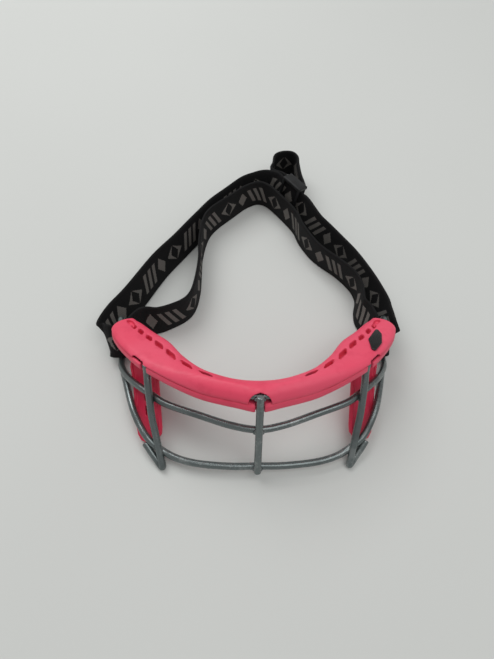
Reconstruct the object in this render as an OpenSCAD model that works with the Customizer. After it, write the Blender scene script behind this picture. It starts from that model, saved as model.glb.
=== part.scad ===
// Lacrosse face guard: a welded rod cage, a two-part brow moulding, cheek pads
// and a doubled elastic strap with a tri-glide slider, lying on a table.
// The guard is drawn in its worn position (X across the face, Y back towards
// the head, Z up) and then tipped back until it rests on its hooks and corners.

/* [Cage] */
// Width between the two strap bars, rod centre to rod centre
cage_w = 175; // [164:1:186]
// Depth from the front of the middle wire back to the strap bars
cage_depth = 68; // [62:1:74]
// Height of the top wire above the bottom of the cage
cage_h = 57.5; // [54:0.5:61]
// Diameter of the coated steel rod
rod_d = 4.3; // [3.8:0.1:4.6]
// Drop of the side hooks below the lower wire, centre to centre
hook_drop = 7.2; // [6:0.1:8.5]
// Size of the weld beads where rods cross
bead_d = 3.2; // [2.4:0.1:4]

/* [Brow moulding] */
// Wall of the upper brow moulding
brow_wall = 1.8; // [1.4:0.1:2.2]
// Rise of the brow crown above the centre of the top wire
crown_rise = 5.4; // [4.8:0.1:6.4]
// Drop of the lower lip below the centre of the top wire
lip_drop = 8.8; // [7:0.1:10]
// Radius of the arch over the centre upright
arch_r = 6; // [5:0.1:7]
// Width of the widest vent slots
vent_w = 3.4; // [2:0.1:4]
// Thickness of the forehead cushion behind the lip
brow_pad_h = 9; // [6:0.5:11]

/* [Cheek pads] */
// Width of each cheek channel
cheek_w = 19.4; // [17:0.2:21]
// Length of each cheek channel
cheek_l = 52; // [46:1:56]
// Thickness of the channel floor
cheek_floor = 1.4; // [1:0.1:2]
// Height of the channel rails above the floor
cheek_rail = 1.1; // [0.8:0.1:1.6]
// Thickness of the soft layer behind the channel
cheek_soft = 2.4; // [1.6:0.1:2.8]

/* [Strap] */
// Width of the elastic webbing
strap_w = 24; // [20:0.5:25]
// Thickness of the elastic webbing
strap_t = 1.8; // [1.2:0.1:2.2]
// Play between the webbing and what it passes
strap_play = 0.4; // [0.3:0.1:0.6]

/* [Slider] */
// Length of the tri-glide slider along the strap
slider_l = 18; // [14:1:22]
// Thickness of the slider bars
slider_bar_t = 2.1; // [1.6:0.1:2.6]
// Wall of the slider beyond each edge of the webbing
slider_end = 3; // [2:0.1:4]
// Travel of the slider along the strap, to either side of where it stands
slide_reach = 6; // [4:0.5:8]

/* [Badge] */
// Thickness of the bare plate on the right temple
badge_t = 0.8; // [0.5:0.1:1.2]

/* [Hidden] */

pink = [0.93, 0.33, 0.46];
steel_grey = [0.52, 0.55, 0.56];
webbing = [0.09, 0.09, 0.10];
slider_grey = [0.12, 0.13, 0.13];

// How far the guard tips back on the table, and where its front stands
tilt = 25;
front_y = -122.4;
side_x = 3;
lift = 2.11;

rod_r = rod_d / 2;
rod_sides = 10;
steps = 4;
spline_steps = 3;
seat = 0.3;

// Sizes that the drawn curves below were laid out for
laid_w = 175;
laid_depth = 68;
laid_h = 57.5;

// A point of the cage, moved with its width, depth and height
function cage(u, v, w) = [u * cage_w / laid_w, v * cage_depth / laid_depth, w * cage_h / laid_h];
// A point of the brow, at a height measured from the centre of the top wire
function brow(u, v, h) = cage(u, v, 0) + [0, 0, top_half[0].z + h];

function unit(v) = v / norm(v);
function mix(a, b, t) = a + (b - a) * t;
function flip(p) = [-p.x, p.y, p.z];
function reversed(list) = [for (i = [len(list) - 1 : -1 : 0]) list[i]];
function tail_of(list) = [for (i = [1 : len(list) - 1]) list[i]];

// Level direction straight out of the face at a point of the cage
function outward(p) = unit([p.x / pow(cage_w / 2, 2), (p.y - cage_depth) / pow(cage_depth, 2), 0]);

// Smooth curve through a list of points
function catmull(a, b, c, d, t) =
    0.5 * (2 * b + (c - a) * t + (2 * a - 5 * b + 4 * c - d) * t * t + (3 * b - a - 3 * c + d) * t * t * t);
function smooth(p, n) = [
    for (i = [0 : len(p) - 2]) for (j = [0 : n - 1])
        catmull(p[max(i - 1, 0)], p[i], p[i + 1], p[min(i + 2, len(p) - 1)], j / n),
    p[len(p) - 1]
];
function smooth_loop(p, n) = [
    for (i = [0 : len(p) - 1]) for (j = [0 : n - 1])
        catmull(p[(i + len(p) - 1) % len(p)], p[i], p[(i + 1) % len(p)], p[(i + 2) % len(p)], j / n)
];

// Skin over a stack of equal rings, closed by end caps or joined end to start
module skin(rings, loop = false) {
    m = len(rings[0]);
    n = len(rings);
    last = loop ? n - 1 : n - 2;
    sides = [
        for (i = [0 : last]) for (j = [0 : m - 1])
            let (a = i * m + j, b = i * m + (j + 1) % m, c = ((i + 1) % n) * m + (j + 1) % m,
                 d = ((i + 1) % n) * m + j)
            each [[a, b, c], [a, c, d]]
    ];
    caps = loop ? [] : [[for (j = [m - 1 : -1 : 0]) j], [for (j = [0 : m - 1]) (n - 1) * m + j]];
    polyhedron([for (r = rings) each r], concat(sides, caps), convexity = 6);
}

function heading(p, i, loop) =
    let (n = len(p), a = loop ? (i + n - 1) % n : max(i - 1, 0), b = loop ? (i + 1) % n : min(i + 1, n - 1))
    unit(p[b] - p[a]);

// Round rod along a path; hub is a point that the path never runs towards
module rod(path, hub, loop = false) {
    rings = [
        for (i = [0 : len(path) - 1])
            let (t = heading(path, i, loop), d = path[i] - hub, x = unit(d - (d * t) * t), y = cross(t, x))
            [for (k = [0 : rod_sides - 1]) path[i] + rod_r * (cos(360 * k / rod_sides) * x
                - sin(360 * k / rod_sides) * y)]
    ];
    skin(rings, loop);
}

// Half of the upper ring, from the middle of the brow round the temple to the middle wire
top_half = [
    cage(0, 4.3, 57.5), cage(20, 10.2, 57.5), cage(48, 22.8, 57.5), cage(63.5, 35.2, 57.5),
    cage(76, 50, 57.5), cage(82.5, 63, 57.6), cage(85.2, 72.5, 58.3), cage(86, 77.2, 57.2)
];
bar_top = cage(86.3, 77.2, 54);
bar_foot = cage(87.5, 71, 38);
corner = cage(87.4, 67.6, 31.55);
middle_half = [
    cage(86, 59.5, 32.3), cage(82, 50.2, 33.9), cage(76.2, 41, 36.2), cage(70, 34, 37.4),
    cage(62, 26.8, 37.4), cage(53, 20, 36.7), cage(34.5, 13.2, 34.8), cage(16, 6.2, 33.5), cage(0, 3, 33)
];
ring_half = concat(top_half, [bar_top, bar_foot, corner], middle_half);
ring_path = smooth_loop(concat(ring_half, [for (i = [len(ring_half) - 2 : -1 : 1]) flip(ring_half[i])]), steps);

// Half of the lower ring, from the middle of the lower wire back to the ring's corner
lower_half = [
    cage(0, 0.1, 4.8), cage(16, 0.1, 4.8), cage(35, 1.7, 5.6), cage(47, 4.5, 7), cage(54.6, 8, 8.6),
    cage(61, 10.6, 12.4), cage(66, 14.2, 16), cage(71, 21.4, 19.5), cage(75.5, 29.8, 24), cage(79.3, 40.5, 27.6),
    cage(82, 49, 29.2), cage(84.6, 56.5, 28.6)
];
lower_path = smooth(concat(reversed(tail_of(lower_half)), [for (p = lower_half) flip(p)]), steps);

// Side upright: over the top wire and the middle wire, hooked under the lower wire
top_weld = cage(60.8, 32.6, 57.5);
middle_weld = cage(59.8, 25.2, 37.3);
upright_top = top_weld + (rod_d + 0.06) * outward(top_weld);
upright_mid = middle_weld + (rod_d + 0.06) * outward(middle_weld);
hook_foot = lower_half[4] + [1.6, -5.4, 0.27 - hook_drop];
side_half = [
    upright_top + [0, 0, 1.5], upright_top - [0, 0, 5], mix(upright_top, upright_mid, 0.55) + [0.3, 0.4, 0],
    upright_mid + [0.2, 0, 0], cage(62, 18, 28.5), cage(60, 12.8, 19.5), cage(57.9, 7.2, 10.5),
    hook_foot + [0.3, 1.1, 2.8], hook_foot, hook_foot + [1.4, 1.4, 0.4], hook_foot + [4.2, 4, 3.4],
    hook_foot + [7.2, 6.5, 6.6], hook_foot + [10.5, 9.7, 10.6]
];

// Centre upright: straight, in front of all three level wires
centre_top = top_half[0] - [0, rod_d, -4];
centre_foot = lower_half[0] - [0, rod_d, 0.6];

ring_hub = cage(0, 62, 45);
low_hub = cage(0, 60, 90);

module upper_ring_wire() {
    color(steel_grey) guard() rod(ring_path, ring_hub, true);
}

module lower_ring_wire() {
    color(steel_grey) guard() rod(lower_path, low_hub);
}

module centre_upright() {
    color(steel_grey) guard() between(centre_foot, centre_top) cylinder(h = norm(centre_top - centre_foot),
        r = rod_r, $fn = 32);
}

module side_upright(side) {
    color(steel_grey) guard() mirrored(side) rod(smooth(side_half, 4), cage(-60, 60, 30));
}

module weld_beads() {
    color(steel_grey) guard() {
        for (p = [top_half[0], middle_half[8], lower_half[0]])
            for (s = [-1, 1]) translate(p + [s * rod_r * 0.9, -rod_r, 0]) sphere(d = bead_d, $fn = 14);
        for (s = [-1, 1]) mirrored(s) {
            translate(mix(middle_weld, upright_mid, 0.5) + [0.2, 0.2, -1.2]) sphere(d = bead_d, $fn = 14);
            translate(mix(top_weld, upright_top, 0.5)) sphere(d = bead_d, $fn = 14);
            translate(mix(lower_half[4], side_half[6], 0.45)) sphere(d = bead_d, $fn = 14);
            translate(mix(middle_half[1], lower_half[10], 0.5)) sphere(d = bead_d, $fn = 14);
        }
    }
}

// Brow moulding: a front edge and a rear edge in plan, joined by cross sections
front_plan = [
    brow(0, -0.4, 0), brow(13, 3.2, 0), brow(26, 7.4, 0), brow(39, 12.6, 0), brow(53, 19.4, 0),
    brow(66, 28.2, 0), brow(78, 41.5, 0), brow(86, 53.5, 0), brow(89.4, 62.3, 0), brow(89, 67.5, 0)
];
rear_plan = [
    brow(0, 14.2, 0), brow(11, 15.3, 0), brow(21.5, 18.9, 0), brow(32.5, 25.2, 0), brow(43, 36, 0),
    brow(52, 49, 0), brow(62.5, 59, 0), brow(70, 67, 0), brow(74.3, 71.2, 0), brow(78, 74.4, 0)
];
function both_sides(half) = concat([for (i = [len(half) - 1 : -1 : 1]) flip(half[i])], half);
front_edge = smooth(both_sides(front_plan), spline_steps);
rear_edge = smooth(both_sides(rear_plan), spline_steps);
brow_rings = len(front_edge);

// Share of the full height left near each end, so that the ends round over
function end_round(i) = let (e = min(i, brow_rings - 1 - i)) e >= 3 ? 1 : [0.8, 0.92, 0.98][e];

// One cross section between the front and rear edges: entries are [depth, height]
function section(i, outline) =
    let (f = front_edge[i], q = rear_edge[i], e = unit(q - f))
    [for (s = outline) f + s.x * e + [0, 0, s.y]];
function depth_at(i) = norm(rear_edge[i] - front_edge[i]);

shell_low = -2.6;
shell_rear_low = 0.4;

// The lower rim, which steps up at each temple to clear the webbing round the strap bar
function shell_base(i) = let (e = min(i, brow_rings - 1 - i)) shell_low + (e >= 3 ? 0 : [3.5, 3.3, 2.4][e]);

function shell_outer(i) =
    let (d = depth_at(i), b = shell_base(i), k = end_round(i), r = (crown_rise - b) * k)
    [[0, b], [-0.3, b + 0.25 * r], [0.2, b + 0.55 * r], [1.7, b + 0.8 * r], [4.2, b + 0.97 * r],
     [d * 0.5, b + r], [d - 4.4, b + 0.94 * r], [d - 1.6, b + 0.81 * r],
     [d - 0.2, b + 0.62 * r], [d, b + max(shell_rear_low - b, 1.2) * k], [d - 0.4, b]];
function shell_inner(i) =
    let (d = depth_at(i), b = shell_base(i), t = brow_wall, r = (crown_rise - t - b) * end_round(i))
    [[t, b], [t, b + 0.48 * r], [t + 0.6, b + 0.72 * r], [t + 2.6, b + 0.96 * r],
     [d * 0.5, b + r], [d - 5, b + 0.9 * r], [d - t - 1, b + 0.68 * r], [d - t, b + 0.45 * r], [d - t, b]];

function span_point(s, share, h) =
    let (k = (brow_rings - 1) / 2 + s * spline_steps, i = floor(k), t = k - i,
         f = mix(front_edge[i], front_edge[min(i + 1, brow_rings - 1)], t),
         q = mix(rear_edge[i], rear_edge[min(i + 1, brow_rings - 1)], t))
    mix(f, q, share) + [0, 0, h];
function span_angle(s, share) =
    let (a = span_point(s - 0.1, share, 0), b = span_point(s + 0.1, share, 0))
    atan2(b.y - a.y, b.x - a.x);

// Vents from the nose outwards: [stations from the centre, share of the depth, length, width]
vents = [
    [2.55, 0.66, 9.5, 0.5], [3.5, 0.68, 11, 0.82], [4.35, 0.67, 11.5, 1], [5.1, 0.67, 9.5, 0.97],
    [5.7, 0.68, 7, 0.94], [6.3, 0.68, 6.4, 0.94], [6.9, 0.66, 5.4, 0.85]
];

module vent(s, share, length, width) {
    p = span_point(s, share, -1);
    w = vent_w * width;
    translate(p) rotate(span_angle(s, share)) linear_extrude(height = crown_rise + 3)
        polygon([[-length / 2, -w / 2], [length / 2 - 1.4, -w / 2], [length / 2, 0], [length / 2 - 0.8, w / 2],
                 [-length / 2 + 1.4, w / 2], [-length / 2, 0]]);
}

module brow_shell() {
    color(pink) guard() difference() {
        skin([for (i = [0 : brow_rings - 1]) section(i, concat(shell_outer(i), reversed(shell_inner(i))))]);
        for (s = [-1, 1]) mirrored(s) {
            for (v = vents) vent(v[0], v[1], v[2], v[3]);
            end_pocket();
            translate(upright_top + [2.4, 1.2, -9]) rotate(44) translate([-5.4, -5, 0])
                cube([10.8, 8, 11]);
        }
        centre_arch();
    }
}

// Room at the end of the lip for the webbing where it goes round the strap bar
module strap_room() {
    r = turn_r + strap_t / 2 + strap_play + 2;
    half = strap_w / 2 + strap_play;
    outboard = 7;
    extra_low = 3.4;
    between(bar_foot + bar_share * (bar_top - bar_foot), bar_top)
        translate([-r, -r - outboard, -half - extra_low])
            cube([2 * r, 2 * r + outboard, 2 * half + extra_low]);
}

// Arched doorway in the front wall, over the head of the centre upright
module centre_arch() {
    translate(top_half[0] + [0, rod_r, -1.4]) rotate([90, 0, 0]) {
        cylinder(h = 12, r = arch_r, $fn = 32);
        translate([-arch_r, -10, 0]) cube([2 * arch_r, 10, 12]);
    }
}

// Blind pocket in the top of the moulding at each temple
pocket_deep = 1.1;
module end_pocket() {
    translate(span_point(7.7, 0.68, crown_rise - pocket_deep)) rotate(span_angle(7.7, 0.68))
        linear_extrude(height = 4) polygon([[-2.9, -1.6], [2.4, -1.6], [3.1, 0.3], [2.2, 1.7], [-2.4, 1.7], [-3.1, 0.2]]);
}

// Lower lip: a strip under the top wire, behind the uprights
lip_gap = 3.3;
lip_from = 1;
function lip_depth(i) = min(depth_at(i) * 0.55, 12) + 0.6;
function lip_section(i) =
    let (t = rod_r + seat, d = lip_depth(i))
    [[lip_gap + 0.5, -lip_drop], [lip_gap, -lip_drop + 1], [lip_gap - 0.1, -t - 2.6], [lip_gap + 0.7, -t - 0.8],
     [lip_gap + 1.4, -t - 0.3], [d - 0.8, -t - 0.3], [d, -t - 1.2], [d, -lip_drop + 1.6], [d - 1.4, -lip_drop + 0.4]];

module brow_lip() {
    color(pink) guard() difference() {
        skin([for (i = [lip_from : brow_rings - 1 - lip_from]) section(i, lip_section(i))]);
        for (s = [-1, 1]) mirrored(s) {
            translate(upright_top - [0, 0, lip_drop + 2]) cylinder(h = lip_drop + 2, r = rod_r + seat + 0.3, $fn = 24);
            strap_room();
        }
    }
}

// Soft strip behind the lip that touches the forehead
function cushion_section(i) =
    let (a = lip_depth(i) + seat + 0.2, d = depth_at(i), b = -brow_pad_h, top = -rod_r - seat - 0.5)
    [[a, b + 1.4], [a, top], [d - 2.6, top + 0.6], [d - 0.6, top - 0.8], [d + 0.6, (top + b) / 2],
     [d - 0.8, b + 1], [d - 2.8, b], [a + 1.4, b]];

module brow_cushion() {
    color(pink) guard() difference() {
        skin([for (i = [3 : brow_rings - 4]) section(i, cushion_section(i))]);
        for (s = [-1, 1]) mirrored(s) on_cheek() translate([-cheek_w, 30, -cheek_back - cheek_soft - 1])
            cube([2 * cheek_w, cheek_l - 29, cheek_soft + cheek_back + 2]);
    }
}

// Cheek pads: a shallow channel with a soft layer behind, behind the middle wire
cheek_foot = cage(65.3, 14.8, 10.3);
cheek_slope = 0.85;
cheek_sweep = 0.87;
cheek_up = unit([0.12, cheek_slope + 0.12 * cheek_sweep, 1]);
cheek_front = unit([cheek_sweep, -1, cheek_slope]);
cheek_out = cross(cheek_up, cheek_front);
cheek_back = cheek_floor + cheek_rail;

// Frame of a cheek pad: X outwards, Y up its length, Z out of its front
module on_cheek() {
    translate(cheek_foot) multmatrix([
        [cheek_out.x, cheek_up.x, cheek_front.x, 0],
        [cheek_out.y, cheek_up.y, cheek_front.y, 0],
        [cheek_out.z, cheek_up.z, cheek_front.z, 0]
    ]) children();
}

module cheek_outline(grow) {
    w = cheek_w / 2;
    offset(r = grow, $fn = 24) polygon([
        [-w, 8], [-w + 0.9, 3.4], [-w + 4, 1], [1.6, -0.4], [w - 4, 0.8], [w - 1.4, 4.6], [w - 0.1, 12],
        [w, cheek_l - 14], [w + 1.6, cheek_l - 5], [w, cheek_l], [-w + 1.6, cheek_l], [-w, cheek_l - 8]
    ]);
}

module cheek_channel(side) {
    rail_w = 1.7;
    color(pink) guard() mirrored(side) on_cheek() translate([0, 0, -cheek_back]) difference() {
        linear_extrude(height = cheek_back) cheek_outline(0);
        translate([0, 0, cheek_floor]) linear_extrude(height = cheek_rail + 1) {
            cheek_outline(-rail_w);
            translate([rail_w - cheek_w / 2, cheek_l - 12]) square([cheek_w - 2 * rail_w, 14]);
        }
        for (y = [18.5, 27.5]) translate([1.2, y, -1]) linear_extrude(height = cheek_floor + 2)
            polygon([[-0.5, -3], [0.5, -3.4], [0.7, 3], [-0.4, 3.4]]);
    }
}

module cheek_cushion(side) {
    color(pink) guard() mirrored(side) on_cheek() translate([0, 0, -cheek_back - seat]) mirror([0, 0, 1]) hull() {
        linear_extrude(height = cheek_soft * 0.3) cheek_outline(-0.6);
        linear_extrude(height = cheek_soft * 0.75) cheek_outline(-1.8);
        linear_extrude(height = cheek_soft) cheek_outline(-4);
    }
}

// Bare plate let into the right temple of the brow
module badge_plate() {
    plan = [cage(75, 55.4, 0), cage(75.9, 52, 0), cage(74, 43.8, 0), cage(69.2, 37.4, 0), cage(68.6, 38, 0),
            cage(68.9, 46.6, 0)];
    color(webbing) guard() translate([0, 0, top_half[0].z + crown_rise + 0.1])
        linear_extrude(height = badge_t) offset(r = 1.2, $fn = 20) polygon([for (p = plan) [p.x, p.y]]);
}

module mirrored(side) {
    if (side > 0) children();
    else mirror([1, 0, 0]) children();
}

module between(a, b) {
    d = b - a;
    translate(a) rotate([0, acos(d.z / norm(d)), atan2(d.y, d.x)]) children();
}

module guard() {
    translate([side_x, front_y, lift]) rotate([-tilt, 0, 0]) children();
}

// A worn point or direction of the guard as it lies on the table
function laid_dir(d) = [d.x, d.y * cos(tilt) + d.z * sin(tilt), d.z * cos(tilt) - d.y * sin(tilt)];
function on_table(p) = [side_x, front_y, lift] + laid_dir(p);

// Webbing: each station is [middle of the band, direction of its width, share of the full width]
function lean_dir(to, lean) = [sin(lean) * cos(to), sin(lean) * sin(to), cos(lean)];
table_play = 0.07;
// A station standing on the table: the lower edge at x, y, leaning towards a heading
function stand(x, y, to, lean, rise = 0) =
    let (d = lean_dir(to, lean))
    [[x + side_x, y + front_y, strap_t / 2 * sin(abs(lean)) + rise + table_play] + d * strap_w / 2, d, 1];

function band_section(p, w, t, share) =
    let (n = cross(t, w), a = share * strap_w / 2, b = strap_t / 2)
    [p - a * w, p - (a - 0.8) * w + b * n, p + (a - 0.8) * w + b * n, p + a * w, p + (a - 0.8) * w - b * n,
     p - (a - 0.8) * w - b * n];

// Closed outline of the webbing at every station of a path
function band_sections(s, loop) =
    let (path = [for (q = s) q[0]])
    [for (i = [0 : len(s) - 1])
        let (t = heading(path, i, loop), w = unit(s[i][1] - (s[i][1] * t) * t))
        band_section(path[i], w, t, s[i][2])];

function smooth_stations(s, n) =
    let (p = smooth([for (q = s) q[0]], n), d = smooth([for (q = s) q[1]], n), k = smooth([for (q = s) q[2]], n))
    [for (i = [0 : len(p) - 1]) [p[i], unit(d[i]), k[i]]];
function smooth_loop_stations(s, n) =
    let (p = smooth_loop([for (q = s) q[0]], n), d = smooth_loop([for (q = s) q[1]], n),
         k = smooth_loop([for (q = s) q[2]], n))
    [for (i = [0 : len(p) - 1]) [p[i], unit(d[i]), k[i]]];

bar_axis = unit(laid_dir(bar_top - bar_foot));
bar_share = 0.5;
bar_mid = on_table(mix(bar_foot, bar_top, bar_share));
turn_r = rod_r + strap_play + strap_t / 2;

function flip_x(p, side) = side > 0 ? p : [2 * side_x - p.x, p.y, p.z];
function turn_station(side, angle, r, lean, drop, share) =
    let (a = bar_axis, x = unit([1, 0, 0] - (a * [1, 0, 0]) * a), y = cross(a, x),
         p = bar_mid + r * (cos(angle) * x + sin(angle) * y) - drop * a, d = unit(a + lean * x))
    [flip_x(p, side), side > 0 ? d : [-d.x, d.y, d.z], share];

// The turn round each strap bar, from the outer layer round the front to the inner layer;
// slack is how far the fold stands out from the bar, and flare how far its top leans out.
// In front of the bar it bunches a little and sits low, between the top wire and the corner.
function turn(side, slack, flare) = [
    turn_station(side, 12, turn_r + slack, flare, 0, 1),
    turn_station(side, -35, turn_r + slack * 0.7, flare / 2, 1.4, 0.98),
    turn_station(side, -90, turn_r + 0.6, 0, 3.1, 0.91),
    turn_station(side, -140, turn_r + 0.9, 0, 2.9, 0.92),
    turn_station(side, -180, turn_r + 1.2, -0.1, 0.85, 0.98)
];
left_turn = turn(-1, 6.5, 0.34);
right_turn = turn(1, 1.8, 0.08);

// Outer layer, from the left strap bar round the back to the right strap bar
// The straight stretch that the slider travels on leans out and stands clear of the table
slide_lean = 12;
slide_rise = slider_end + 1.6;
slide_heading = 38.7;
slide_step = (slider_l / 2 + slide_reach + 1.5) / 3;
slider_out = strap_t / 2 + strap_play + slider_bar_t;
function slide_spot(k) =
    [28.8, 203.2] + (slider_out - 3.4) * [cos(slide_heading), sin(slide_heading)]
    + k * slide_step * [sin(slide_heading), -cos(slide_heading)];
outer_route = concat(reversed(left_turn), [
    stand(-86.6, 99.5, 158, 26), stand(-77.4, 114, 152, 23), stand(-62.5, 140.5, 147, 20),
    stand(-50, 158, 143, 17), stand(-41, 170.5, 139, 17), stand(-34.4, 179.5, 136, 17),
    stand(-25, 191.5, 130, 18), stand(-13.8, 202.6, 122, 18), stand(-3, 213.2, 112, 18),
    stand(5, 217.2, 92, 17, 0.6), stand(12, 218.3, 70, 14, 2.6),
    each [for (k = [-3 : 3])
        stand(slide_spot(k).x, slide_spot(k).y, slide_heading, slide_lean, slide_rise)],
    stand(47.5, 177.2, 41, 10, 2.4), stand(55.5, 168.4, 43, 9, 0.8), stand(63.6, 158.4, 41, 8),
    stand(71, 147.3, 38, 8), stand(77.5, 134, 32, 9), stand(81.9, 121, 26, 12), stand(84.8, 108, 18, 16)
], right_turn);

// Inner layer, from the right strap bar back round to the left one
inner_route = [
    stand(73.4, 98.5, 40, 18, 0.4), stand(72.6, 108.5, 0, 6), stand(75, 120, 6, 0), stand(72, 130, 28, -1),
    stand(63.4, 141.4, 42, -3), stand(53, 150.8, 42, -3), stand(45.4, 159.2, 40, -1), stand(38.3, 172, 26, 0),
    stand(34.8, 182.6, 24, 0), stand(29.6, 191.2, 36, 1), stand(22, 201.6, 42, 1), stand(15, 209.6, 58, 2),
    stand(7.2, 212.9, 92, 3), stand(-2.6, 208.4, 116, 4), stand(-14, 197.9, 128, 6), stand(-26.6, 185.4, 140, 9),
    stand(-32.8, 174.3, 152, 7), stand(-36.4, 157, 176, 2), stand(-36.9, 143.4, 180, 0), stand(-37.4, 127, 172, 3),
    stand(-40.4, 112.6, 135, 5), stand(-47, 104, 112, 8), stand(-60.4, 96.3, 112, 14), stand(-72, 91.5, 100, 28, 0.4)
];

// The webbing is one closed loop, cut where these control stations stand
strap_steps = 3;
strap_stations = smooth_loop_stations(concat(outer_route, inner_route), strap_steps);
strap_rings = band_sections(strap_stations, true);
left_fold = 5;
outer_left_end = 12;
outer_back_end = 22;
right_fold = 29;
right_fold_end = 35;
inner_right_end = 44;
inner_back_end = 50;
loop_end = len(outer_route) + len(inner_route);

module webbing_between(from, to) {
    n = len(strap_rings);
    color(webbing) skin([for (i = [from * strap_steps : to * strap_steps]) strap_rings[(i + n) % n]]);
}

module strap_left_turn() {
    webbing_between(-1, left_fold);
}

module strap_outer_left() {
    webbing_between(left_fold, outer_left_end);
}

module strap_outer_back() {
    webbing_between(outer_left_end, outer_back_end);
}

module strap_outer_right() {
    webbing_between(outer_back_end, right_fold);
}

module strap_right_turn() {
    webbing_between(right_fold, right_fold_end);
}

module strap_inner_right() {
    webbing_between(right_fold_end, inner_right_end);
}

module strap_inner_back() {
    webbing_between(inner_right_end, inner_back_end);
}

module strap_inner_left() {
    webbing_between(inner_back_end, loop_end - 1);
}

// Slider frame: X along the strap, Y across its thickness (outwards), Z along its width
slide_station = stand(slide_spot(0).x, slide_spot(0).y, slide_heading, slide_lean, slide_rise);
slide_x = [sin(slide_heading), -cos(slide_heading), 0];
slide_z = unit(slide_station[1] - (slide_station[1] * slide_x) * slide_x);
slide_y = cross(slide_z, slide_x);

module on_slider() {
    multmatrix([
        [slide_x.x, slide_y.x, slide_z.x, slide_station[0].x],
        [slide_x.y, slide_y.y, slide_z.y, slide_station[0].y],
        [slide_x.z, slide_y.z, slide_z.z, slide_station[0].z]
    ]) children();
}

// The end bars lie inside the webbing, and the middle bar outside it, inside its sewn loop
end_bar_at = slider_out - slider_bar_t / 2;
middle_bar_at = strap_t / 2 + strap_play + strap_t + seat + slider_bar_t / 2;
middle_bar_w = slider_bar_t + 1;
slider_face = middle_bar_at + slider_bar_t / 2;

module slider() {
    rail_h = slider_end - strap_play;
    rail_at = strap_w / 2 + strap_play + rail_h / 2;
    color(slider_grey) on_slider() {
        for (s = [-1, 1]) {
            translate([s * (slider_l - slider_bar_t) / 2, -end_bar_at, 0])
                cube([slider_bar_t, slider_bar_t, 2 * rail_at], center = true);
            translate([-slider_l / 2, -slider_out, s * rail_at - rail_h / 2])
                cube([slider_l, slider_out + slider_face, rail_h]);
        }
        translate([0, middle_bar_at, 0]) cube([middle_bar_w, slider_bar_t, 2 * rail_at], center = true);
    }
}

// End of the webbing sewn round the slider's middle bar
module slider_loop() {
    color(webbing) on_slider() translate([0, middle_bar_at, 0]) linear_extrude(height = strap_w, center = true)
        difference() {
            offset(r = strap_t, $fn = 24) loop_core();
            loop_core();
        }
}

module loop_core() {
    square([middle_bar_w + 2 * seat, slider_bar_t + 2 * seat], center = true);
}

// A station beside the slider: along the strap and out from it
function by_slider(along, out) = [slide_station[0] + along * slide_x + out * slide_y, slide_station[1], 1];

// Slack of the webbing, which comes out at one end of the slider and goes back in at the other
slack_at = middle_bar_w / 2 + seat + 1.5 * strap_t + seat;
slack_in = strap_t + strap_play + seat;
slack_route = [
    by_slider(slack_at, slack_in), by_slider(slack_at + 0.6, slider_face + 2), stand(38.4, 221.5, 0, 3, 1.5),
    stand(39, 234, 0, 0, 0.3), stand(38.8, 242, 20, 0, 0.1), stand(34.8, 247, 80, 0, 0.1),
    stand(27, 247.2, 100, 0, 0.1), stand(21, 243.4, 140, 0, 0.1), stand(19.2, 235, 180, 0, 0.2),
    stand(19.4, 226.5, 200, 4, 1.5),
    by_slider(-slider_l / 2 - 4, slack_in + 1), by_slider(slider_bar_t - slider_l / 2, slack_in)
];

module strap_tail() {
    color(webbing) skin(band_sections(smooth_stations(slack_route, 3), false));
}

upper_ring_wire();
lower_ring_wire();
centre_upright();
side_upright(-1);  // left_upright
side_upright(1);  // right_upright
weld_beads();
brow_shell();
brow_lip();
brow_cushion();
cheek_channel(-1);  // left_cheek_channel
cheek_channel(1);  // right_cheek_channel
cheek_cushion(-1);  // left_cheek_cushion
cheek_cushion(1);  // right_cheek_cushion
badge_plate();
strap_left_turn();
strap_right_turn();
strap_outer_left();
strap_outer_back();
strap_outer_right();
strap_inner_left();
strap_inner_back();
strap_inner_right();
slider();
slider_loop();
strap_tail();
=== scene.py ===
"""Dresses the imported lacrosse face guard: coated rods, brow moulding, cheek pads, webbing and slider."""

import logging
import math
from dataclasses import dataclass, field
from enum import Enum
from typing import Callable, Sequence

import bpy
from mathutils import Matrix, Vector, noise


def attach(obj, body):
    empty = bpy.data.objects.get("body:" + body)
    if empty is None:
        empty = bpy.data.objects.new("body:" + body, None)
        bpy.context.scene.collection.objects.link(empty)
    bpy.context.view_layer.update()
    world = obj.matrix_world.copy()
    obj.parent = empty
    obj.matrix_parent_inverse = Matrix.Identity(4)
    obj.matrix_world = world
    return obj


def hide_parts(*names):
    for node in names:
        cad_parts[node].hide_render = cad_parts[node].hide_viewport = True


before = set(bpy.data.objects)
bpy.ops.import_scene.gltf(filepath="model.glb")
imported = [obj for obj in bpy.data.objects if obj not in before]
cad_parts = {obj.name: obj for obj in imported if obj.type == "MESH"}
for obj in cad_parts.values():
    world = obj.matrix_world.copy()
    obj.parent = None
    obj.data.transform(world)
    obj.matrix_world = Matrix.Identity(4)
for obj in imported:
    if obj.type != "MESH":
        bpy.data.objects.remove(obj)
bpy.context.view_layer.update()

MM = 0.001
NODE_MERGE = 0.000002
SEAM_MERGE = 0.0000005
LOG = logging.getLogger("face_guard")

Rings = list[list[Vector]]
Point = tuple[float, float, float]
Pair = tuple[float, float]
Colour = tuple[float, float, float, float]


class Body(Enum):
    """The bodies that pieces ride on."""

    GUARD = "guard"
    SLIDER = "slider"


class Slot(Enum):
    """The record's material slots."""

    WIRE = "coated_wire"
    MOULDING = "pink_moulding"
    CUSHION = "pink_cushion"
    PLATE = "plate_plastic"
    WEBBING = "webbing"
    SLIDER = "slider_plastic"


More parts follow.
